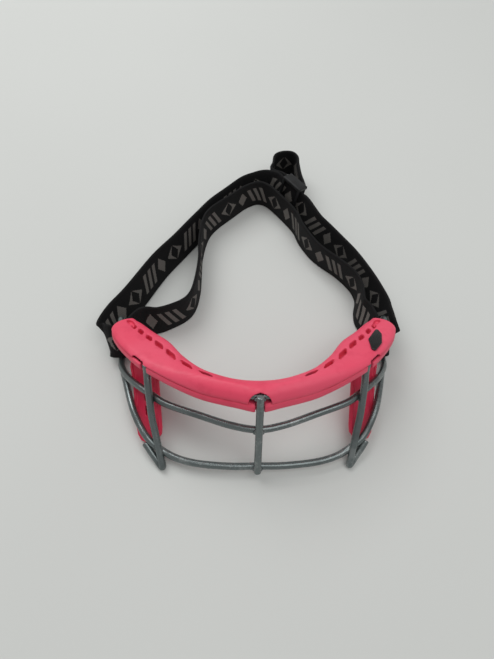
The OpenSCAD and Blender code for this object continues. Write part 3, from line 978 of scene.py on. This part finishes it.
        up = {"value": (0, 0, height)}
        in_edit_mode(obj, lambda: bpy.ops.mesh.extrude_region_move(TRANSFORM_OT_translate=up))
        take(obj)
        bpy.ops.object.mode_set(mode="EDIT")
        bpy.ops.mesh.select_mode(type="EDGE")
        bpy.ops.mesh.select_all(action="DESELECT")
        bpy.ops.object.mode_set(mode="OBJECT")
        for line in obj.data.edges:
            a, b = (obj.data.vertices[i].co for i in line.vertices)
            line.select = abs(a.z - b.z) > height / 2
        bpy.ops.object.mode_set(mode="EDIT")
        bpy.ops.mesh.bevel(offset=round_off, segments=4, affect="EDGES")
        bpy.ops.mesh.select_all(action="SELECT")
        bpy.ops.mesh.normals_make_consistent(inside=False)
        bpy.ops.object.mode_set(mode="OBJECT")
        c, s = math.cos(turn), math.sin(turn)
        for vertex in obj.data.vertices:
            x, y, z = vertex.co
            u = place.x + x * c - y * s
            v = place.y + x * s + y * c
            vertex.co = LIE.point(side * u, v, place.z + z)
        if side < 0:
            in_edit_mode(obj, lambda: bpy.ops.mesh.flip_normals())
        return obj

    def vent_cutters(self) -> list[bpy.types.Object]:
        """One slanted prism for each vent."""
        made = []
        for side in (-1, 1):
            for station, share, length, width in self.vents:
                a, w = self.vent_stretch * length / 2, self.vent_width * width / 2
                slant = self.vent_slant * length
                outline = [(-a, -w), (a - slant, -w), (a, w), (slant - a, w)]
                place = self.spot(station, share, self.vent_floor)
                turn = self.heading(station, share)
                made.append(self.cutter(outline, self.crown + 4, place, turn, side, 0.35 * width))
        return made

    def end_pockets(self) -> list[bpy.types.Object]:
        """The blind pocket at each temple."""
        made = []
        for side in (-1, 1):
            outline = [(-2.9, -1.6), (2.4, -1.6), (3.1, 0.3), (2.2, 1.7), (-2.4, 1.7), (-3.1, 0.2)]
            place = self.spot(*self.pocket_spot, self.crown - self.pocket_depth)
            made.append(self.cutter(outline, 5, place, self.heading(*self.pocket_spot), side, 0.7))
        return made

    def upright_notches(self) -> list[bpy.types.Object]:
        """The step in the front edge that clears each side upright."""
        made = []
        for side in (-1, 1):
            outline = [(-5.2, -5), (4.6, -5), (4.6, 2.4), (-5.2, 2.4)]
            place = Vector((*self.notch_spot, self.top_wire + self.notch_low))
            turn = math.radians(self.upright_turn)
            made.append(self.cutter(outline, self.notch_height, place, turn, side, 1.6))
        return made

    def upright_channels(self) -> list[bpy.types.Object]:
        """The channels that the three uprights come down through in the lip's front strip."""
        made = []
        room = self.rod_radius + self.seat
        temple = (self.upright_spot, self.upright_turn)
        nose = ((0, 0), 0)
        for side, (spot, turn) in ((-1, temple), (1, temple), (1, nose)):
            outline = [(-room, -8), (room, -8), (room, room), (-room, room)]
            place = Vector((*spot, self.top_wire + self.channel_low))
            made.append(self.cutter(outline, self.channel_height, place, math.radians(turn), side, 0.8))
        return made

    def centre_arch(self) -> list[bpy.types.Object]:
        """The arched doorway over the head of the centre upright."""
        clear_selection()
        bpy.ops.mesh.primitive_cylinder_add(vertices=64, radius=self.arch_radius, depth=self.arch_depth)
        arch = bpy.context.object
        middle = self.wire_depth + self.rod_radius - self.arch_depth / 2
        for vertex in arch.data.vertices:
            x, y, z = vertex.co
            if y < 0:
                y = self.doorway_low
                x = math.copysign(self.arch_radius, x) if abs(x) > 0.3 else x
            vertex.co = LIE.point(x * self.arch_width, middle + z, self.top_wire - self.arch_drop + y)
        in_edit_mode(arch, lambda: bpy.ops.mesh.normals_make_consistent(inside=False))
        return [arch]

    def strap_rooms(self) -> list[bpy.types.Object]:
        """Room under each end for the webbing round the strap bar."""
        axis = (BAR_TOP - BAR_FOOT).normalized()
        across, back = square_to(axis)
        middle = Vector(BAR_MIDDLE)
        high = 2 * self.room_half_width + self.room_extra_low
        wide = 2 * self.room_reach + self.room_outboard
        made = []
        for side in (-1, 1):
            clear_selection()
            bpy.ops.mesh.primitive_cube_add(size=1.0)
            room = bpy.context.object
            for vertex in room.data.vertices:
                x, y, z = vertex.co
                p = middle + axis * (z * high - self.room_extra_low / 2)
                p += across * (x * wide + self.room_outboard / 2) + back * (y * 2 * self.room_reach)
                vertex.co = LIE.point(side * p.x, p.y, p.z)
            in_edit_mode(room, lambda: bpy.ops.mesh.normals_make_consistent(inside=False))
            made.append(room)
        return made

    def grooves(self, rods: Sequence[bpy.types.Object]) -> list[bpy.types.Object]:
        """Fattened copies of the rods, to cut their grooves with."""
        made = []
        for rod in rods:
            groove = bpy.data.objects.new("wire_groove", rod.data.copy())
            bpy.context.scene.collection.objects.link(groove)
            in_edit_mode(groove, lambda: bpy.ops.transform.shrink_fatten(value=self.seat * MM))
            made.append(groove)
        return made

    @staticmethod
    def cut(obj: bpy.types.Object, cutters: Sequence[bpy.types.Object]) -> None:
        """Cuts every cutter out of a piece and removes the cutters."""
        for cutter in cutters:
            modify(obj, "BOOLEAN", operation="DIFFERENCE", solver="EXACT", object=cutter)
        for cutter in cutters:
            bpy.data.objects.remove(cutter)

    def build(
        self, material: bpy.types.Material, pad_material: bpy.types.Material, rods: Sequence[bpy.types.Object]
    ) -> None:
        """Builds and dresses the brow.

        Args:
            material: The pink moulding finish.
            pad_material: The softer finish of the forehead pad.
            rods: The rods that the shell and the lip are grooved for.
        """
        shell = skin("brow_moulding_upper", self.rings(self.stations, self.shell_outline))
        cutters = self.vent_cutters() + self.end_pockets() + self.upright_notches() + self.centre_arch()
        self.cut(shell, cutters + self.grooves(rods))
        soften(shell, self.voxel, 4)
        dress(shell, material, Slot.MOULDING, Body.GUARD, ["brow_shell"])
        lip = skin("brow_moulding_lip", self.rings(self.stations - 0.33, self.lip_outline))
        self.cut(lip, self.strap_rooms() + self.upright_channels() + self.grooves(rods))
        soften(lip, self.voxel, 4)
        dress(lip, material, Slot.MOULDING, Body.GUARD, ["brow_lip"])
        pad = copy_node("brow_cushion", "brow_pad")
        soften(pad, self.voxel, 12)
        dress(pad, pad_material, Slot.CUSHION, Body.GUARD, ["brow_cushion"])


@dataclass
class CheekPads:
    """The two cheek channels with their soft backs."""

    voxel: float = 0.4 * MM

    def build(self, material: bpy.types.Material, pad_material: bpy.types.Material) -> None:
        """Builds and dresses both cheek pads.

        Args:
            material: The pink moulding finish, here a darker crimson copy whose colour is painted shade of
                the recessed channels.
            pad_material: The softer finish of the backs.
        """
        for side in ("left", "right"):
            channel = copy_node(f"{side}_cheek_channel", f"cheek_moulding_{side}")
            soften(channel, self.voxel, 4)
            dress(channel, material, Slot.MOULDING, Body.GUARD, [f"{side}_cheek_channel"])
            back = copy_node(f"{side}_cheek_cushion", f"cheek_pad_{side}")
            soften(back, self.voxel, 10)
            dress(back, pad_material, Slot.CUSHION, Body.GUARD, [f"{side}_cheek_cushion"])


Station = tuple[Vector, Vector, float]


@dataclass
class Webbing:
    """The elastic strap: one closed loop of webbing, the sewn slider loop and the slack."""

    width: float = 24.0
    thick: float = 1.8
    play: float = 0.4
    seat: float = 0.3
    table_play: float = 0.07
    rod_radius: float = 2.15
    slider_length: float = 18.0
    slider_bar: float = 2.1
    slider_end: float = 3.0
    slider_reach: float = 6.0
    slide_lean: float = 12.0
    slide_heading: float = 38.7
    slide_middle: Pair = (28.8, 203.2)
    slide_set_back: float = 3.4
    slack_play: float = 0.25
    fineness: int = 10
    left_fold: tuple[tuple[float, ...], ...] = ((12, 6.3, 0.32, 1.3, 1), (-35, 3.7, 0.45, 2.3, 0.95))
    right_fold: tuple[tuple[float, ...], ...] = ((15, 0.9, 0.22, 2.7, 0.95), (-35, 0.6, 0.12, 2.9, 0.92))

    def stand(self, x: float, y: float, to: float, lean: float, rise: float = 0.0) -> Station:
        """A station that stands on the table.

        Args:
            x: Sideways place of the lower edge, in millimetres.
            y: Its place from the front.
            to: The heading that the band leans towards, in degrees.
            lean: How far it leans, in degrees.
            rise: How far its lower edge is off the table.

        Returns:
            The middle of the band in millimetres, the direction of its width and its share of the
            full width.
        """
        lean_in, turn = math.radians(lean), math.radians(to)
        level = math.sin(lean_in)
        d = Vector((level * math.cos(turn), level * math.sin(turn), math.cos(lean_in)))
        low = self.thick / 2 * math.sin(abs(lean_in)) + rise + self.table_play
        foot = Vector((x + LIE.side, y + LIE.front, low))
        return foot + d * self.width / 2, d, 1.0

    def turn(self, side: int, fold: Sequence[Sequence[float]]) -> list[Station]:
        """The fold round one strap bar, from the outer layer round the front to the inner layer.

        Args:
            side: 1 for the right of the face, -1 for the left.
            fold: The slack part, each place as its angle round the bar, how far it stands out from
                the bar, how far its top leans out, how low it hangs and its share of the full width.

        Returns:
            Stations that sit low and bunch a little in front of the bar.
        """
        axis = LIE.direction(*(BAR_TOP - BAR_FOOT)).normalized()
        middle = LIE.point(*BAR_MIDDLE) / MM
        across, back = square_to(axis)
        radius = self.rod_radius + self.play + self.thick / 2
        stops = (
            *fold, (-90, 0.6, 0, 3.1, 0.91), (-140, 0.9, 0, 2.9, 0.92), (-180, 1.2, -0.1, 0.85, 0.98),
        )
        made = []
        for angle, extra, lean, drop, share in stops:
            a = math.radians(angle)
            p = middle + (radius + extra) * (math.cos(a) * across + math.sin(a) * back) - drop * axis
            d = (axis + lean * across).normalized()
            if side < 0:
                p.x = 2 * LIE.side - p.x
                d.x = -d.x
            made.append((p, d, share))
        return made

    def slide_spot(self, step: float) -> Pair:
        """A place on the straight stretch that the slider travels on."""
        out = self.thick / 2 + self.play + self.slider_bar - self.slide_set_back
        stride = (self.slider_length / 2 + self.slider_reach + 1.5) / 3
        c, s = math.cos(math.radians(self.slide_heading)), math.sin(math.radians(self.slide_heading))
        x, y = self.slide_middle
        return x + out * c + step * stride * s, y + out * s - step * stride * c

    def slide_station(self, step: float) -> Station:
        """A station on that straight stretch, clear of the table."""
        x, y = self.slide_spot(step)
        return self.stand(x, y, self.slide_heading, self.slide_lean, self.slider_end + 1.6)

    def loop_route(self) -> list[Station]:
        """The whole closed loop, outer layer first."""
        stand = self.stand
        outer = list(reversed(self.turn(-1, self.left_fold)))
        outer += [
            stand(-86.6, 99.5, 158, 26), stand(-77.4, 114, 152, 23), stand(-62.5, 140.5, 147, 20),
            stand(-50, 158, 143, 17), stand(-41, 170.5, 139, 17), stand(-34.4, 179.5, 136, 17),
            stand(-25, 191.5, 130, 18), stand(-13.8, 202.6, 122, 18), stand(-3, 213.2, 112, 18),
            stand(5, 217.2, 92, 17, 0.6), stand(12, 218.3, 70, 14, 2.6),
        ]
        outer += [self.slide_station(step) for step in range(-3, 4)]
        outer += [
            stand(47.5, 177.2, 41, 10, 2.4), stand(55.5, 168.4, 43, 9, 0.8), stand(63.6, 158.4, 41, 8),
            stand(71, 147.3, 38, 8), stand(77.5, 134, 32, 9), stand(81.9, 121, 26, 12),
            stand(84.8, 108, 18, 16), stand(86.3, 101.4, 14, 14), stand(87.7, 94.5, 12, 12, 0.3),
        ]
        outer += self.turn(1, self.right_fold)
        inner = [
            stand(73.4, 98.5, 40, 18, 0.4), stand(72.6, 108.5, 0, 6), stand(75, 120, 6, 0),
            stand(72, 130, 28, -1), stand(63.4, 141.4, 42, -3), stand(53, 150.8, 42, -3),
            stand(45.4, 159.2, 40, -1), stand(38.3, 172, 26, 0), stand(34.8, 182.6, 24, 0),
            stand(29.6, 191.2, 36, 1), stand(22, 201.6, 42, 1), stand(15, 209.6, 58, 2),
            stand(7.2, 212.9, 92, 3), stand(-2.6, 208.4, 116, 4),
            stand(-14, 197.9, 128, 6), stand(-26.6, 185.4, 140, 9), stand(-32.8, 174.3, 152, 7),
            stand(-36.4, 157, 176, 2), stand(-36.9, 143.4, 180, 0), stand(-37.4, 127, 172, 3),
            stand(-40.4, 112.6, 135, 5), stand(-47, 104, 112, 8), stand(-60.4, 96.3, 112, 14),
            stand(-72, 91.5, 100, 28, 0.4),
        ]
        return outer + inner

    def slider_axes(self) -> tuple[Vector, Vector, Vector, Vector]:
        """The slider's middle, and its directions along, out from and across the strap."""
        middle, lean, _ = self.slide_station(0)
        turn = math.radians(self.slide_heading)
        along = Vector((math.sin(turn), -math.cos(turn), 0))
        up = (lean - along * lean.dot(along)).normalized()
        return middle, along, up.cross(along), up

    def beside(self, along: float, out: float) -> Station:
        """A station beside the slider."""
        middle, run, outward, _ = self.slider_axes()
        return middle + along * run + out * outward, self.slide_station(0)[1], 1.0

    def middle_bar(self) -> float:
        """How far out the slider's middle bar lies."""
        return self.thick / 2 + self.play + self.thick + self.seat + self.slider_bar / 2

    def slack_route(self) -> list[Station]:
        """The slack, out at one end of the slider and back in at the other."""
        bar_width = self.slider_bar + 1
        face = self.middle_bar() + self.slider_bar / 2
        slack_at = bar_width / 2 + self.seat + 1.5 * self.thick + self.seat
        slack_in = self.thick + self.play + self.seat + self.slack_play
        stand = self.stand
        return [
            self.beside(slack_at, slack_in), self.beside(slack_at + 0.6, face + 2),
            stand(38.4, 221.5, 0, 3, 1.5), stand(39, 234, 0, 0, 0.3), stand(38.8, 242, 20, 0, 0.1),
            stand(34.8, 247, 80, 0, 0.1), stand(27, 247.2, 100, 0, 0.1), stand(21, 243.4, 140, 0, 0.1),
            stand(19.2, 235, 180, 0, 0.2), stand(19.4, 226.5, 200, 4, 1.5),
            self.beside(-self.slider_length / 2 - 4, slack_in + 1),
            self.beside(self.slider_bar - self.slider_length / 2, slack_in),
        ]

    def profile(self) -> list[Pair]:
        """Places across and out of the band, round its cross section."""
        radius = self.thick / 2
        flat = self.width / 2 - radius
        across_steps, arc_steps = 8, 5
        face = [(-flat + 2 * flat * i / across_steps, radius) for i in range(across_steps + 1)]
        angles = [math.pi / 2 - math.pi * i / arc_steps for i in range(1, arc_steps)]
        arc = [(flat + radius * math.cos(a), radius * math.sin(a)) for a in angles]
        half = face + arc
        return half + [(-a, -o) for a, o in half]

    def band(self, name: str, route: Sequence[Station], loop: bool) -> tuple[bpy.types.Object, float]:
        """Sweeps the webbing's cross section along a route.

        Args:
            name: The piece's name.
            route: The stations, in millimetres.
            loop: True where the band closes on itself.

        Returns:
            The piece and its length in metres.
        """
        spots = [s[0] for s in route]
        widths = [s[1] for s in route]
        shares = [Vector((s[2], 0, 0)) for s in route]
        spans = len(route) if loop else len(route) - 1
        count = spans * self.fineness + (0 if loop else 1)
        path = [catmull(spots, i / self.fineness, loop) for i in range(count)]
        across = [catmull(widths, i / self.fineness, loop) for i in range(count)]
        profile = self.profile()
        rings: Rings = []
        for i in range(count):
            after = path[(i + 1) % count] if loop else path[min(i + 1, count - 1)]
            before = path[(i - 1) % count] if loop else path[max(i - 1, 0)]
            run = (after - before).normalized()
            wide = (across[i] - run * across[i].dot(run)).normalized()
            out = run.cross(wide)
            share = catmull(shares, i / self.fineness, loop).x
            rings.append([(path[i] + a * share * wide + o * out) * MM for a, o in profile])
        obj = skin(name, rings, loop)
        lengths = [0.0]
        for i in range(1, count + (1 if loop else 0)):
            lengths.append(lengths[-1] + (path[i % count] - path[i - 1]).length * MM)
        places = [a * MM for a, _ in profile]
        scale_map(obj, lengths, places + [places[0]])
        smooth_shade(obj)
        return obj, lengths[-1]

    def sewn_loop_route(self) -> list[Station]:
        """The short loop sewn round the slider's middle bar."""
        half_along = (self.slider_bar + 1) / 2 + self.seat + self.thick / 2
        half_out = self.slider_bar / 2 + self.seat + self.thick / 2
        corner = self.thick / 2 + self.seat
        stops = []
        for along, out, first in ((1, 1, 0), (-1, 1, 90), (-1, -1, 180), (1, -1, 270)):
            for step in range(4):
                a = math.radians(first + 30 * step)
                x = along * (half_along - corner) + corner * math.cos(a)
                y = out * (half_out - corner) + corner * math.sin(a)
                stops.append(self.beside(x, self.middle_bar() + y))
        return stops

    def build(self, material: bpy.types.Material) -> None:
        """Builds and dresses the webbing.

        Args:
            material: The woven webbing finish.
        """
        loop, length = self.band("strap_webbing", self.loop_route(), True)
        parts = ("left", "back", "right")
        replaced = [f"strap_{layer}_{part}" for layer in ("outer", "inner") for part in parts]
        dress(loop, material, Slot.WEBBING, Body.GUARD, replaced + ["strap_left_turn", "strap_right_turn"])
        LOG.info("strap loop length %.4f m", length)
        sewn, length = self.band("slider_webbing_loop", self.sewn_loop_route(), True)
        dress(sewn, material, Slot.WEBBING, Body.SLIDER, ["slider_loop"])
        tail, length = self.band("strap_slack", self.slack_route(), False)
        dress(tail, material, Slot.WEBBING, Body.SLIDER, ["strap_tail"])
        LOG.info("strap slack length %.4f m", length)


@dataclass
class Fittings:
    """The tri-glide slider and the bare plate at the right temple."""

    slider_round: float = 0.65 * MM
    plate_round: float = 0.28 * MM

    def build(self, slider_material: bpy.types.Material, plate_material: bpy.types.Material) -> None:
        """Builds and dresses the slider and the plate.

        Args:
            slider_material: The charcoal plastic.
            plate_material: The glossy black plastic.
        """
        slider = rounded_copy("slider", "tri_glide", self.slider_round, 4)
        dress(slider, slider_material, Slot.SLIDER, Body.SLIDER, ["slider"])
        plate = rounded_copy("badge_plate", "temple_plate", self.plate_round, 3)
        dress(plate, plate_material, Slot.PLATE, Body.GUARD, ["badge_plate"])


@dataclass(frozen=True)
class Studio:
    """The floor, the lamps and the camera of the photograph's view."""

    focal_pixels: float = 495.0
    frame_height: float = 659.0
    elevation: float = 61.3
    roll: float = -4.03
    yaw: float = 4.73
    eye: Point = (-0.0144, -0.1896, 0.3024)
    lamp_power: float = 9.6
    sky: float = 0.44

    def camera(self) -> None:
        """Places the camera where the photograph was taken from."""
        clear_selection()
        bpy.ops.object.camera_add(location=self.eye)
        camera = bpy.context.object
        e, y, r = (math.radians(a) for a in (self.elevation, self.yaw, self.roll))
        ahead = Vector((math.sin(y) * math.cos(e), math.cos(y) * math.cos(e), -math.sin(e)))
        level = Vector((math.cos(y), -math.sin(y), 0))
        down = ahead.cross(level)
        right = math.cos(r) * level + math.sin(r) * down
        below = math.cos(r) * down - math.sin(r) * level
        camera.rotation_mode = "QUATERNION"
        camera.rotation_quaternion = Matrix((right, -below, -ahead)).transposed().to_quaternion()
        camera.data.sensor_fit = "AUTO"
        camera.data.sensor_width = 36.0
        camera.data.lens = 36.0 * self.focal_pixels / self.frame_height
        camera.data.clip_start = 0.01
        bpy.context.scene.camera = camera

    def floor(self) -> None:
        """Lays the pale floor."""
        clear_selection()
        bpy.ops.mesh.primitive_plane_add(size=4.0)
        floor = bpy.context.object
        floor.name = "table_top"
        floor.data.materials.append(TableTop().material())

    def lamp(self, name: str, place: Point, size: float, power: float) -> None:
        """Hangs one soft square lamp that looks at the guard."""
        clear_selection()
        bpy.ops.object.light_add(type="AREA", location=place)
        lamp = bpy.context.object
        lamp.name = name
        lamp.data.size = size
        lamp.data.energy = power
        lamp.rotation_euler = (-Vector(place)).to_track_quat("-Z", "Y").to_euler()

    def world(self) -> None:
        """Sets an even pale sky."""
        world = bpy.data.worlds.new("even_sky")
        world.use_nodes = True
        background = world.node_tree.nodes["Background"]
        background.inputs["Color"].default_value = (1.0, 1.0, 1.0, 1.0)
        background.inputs["Strength"].default_value = self.sky
        bpy.context.scene.world = world

    def build(self) -> None:
        """Sets up the camera, the floor and the light."""
        self.camera()
        self.floor()
        self.world()
        self.lamp("window_lamp", (-0.5, 0.7, 1.1), 0.9, self.lamp_power)
        self.lamp("ceiling_lamp", (0.4, -0.2, 1.4), 1.0, self.lamp_power * 0.6)
        settings = bpy.context.scene.view_settings
        settings.view_transform = "Standard"


def main() -> None:
    """Builds the studio and every piece of the guard."""
    logging.basicConfig(level=logging.INFO, format="%(name)s: %(message)s")
    Studio().build()
    wire = CoatedWire().material()
    pink = MouldedPink().material()
    soft_pink = MouldedPink(
        name="pink_cushion", grain_scale=1800.0, grain_depth=0.00007, rough=0.62
    ).material()
    # The cheek channels get a darker crimson copy of the pink moulding: painted shade of their recessed
    # channels.
    channel_shade_pink = MouldedPink(
        name="pink_cheek_painted_shade", body=srgb(206, 36, 72), faded=srgb(212, 54, 86), deep=srgb(184, 24, 58)
    ).material()
    rods = RodCage().build(wire)
    BrowMoulding().build(pink, soft_pink, rods)
    CheekPads().build(channel_shade_pink, soft_pink)
    Webbing().build(WovenWebbing().material())
    Fittings().build(SliderPlastic().material(), GlossPlate().material())


if __name__ == "__main__":
    main()
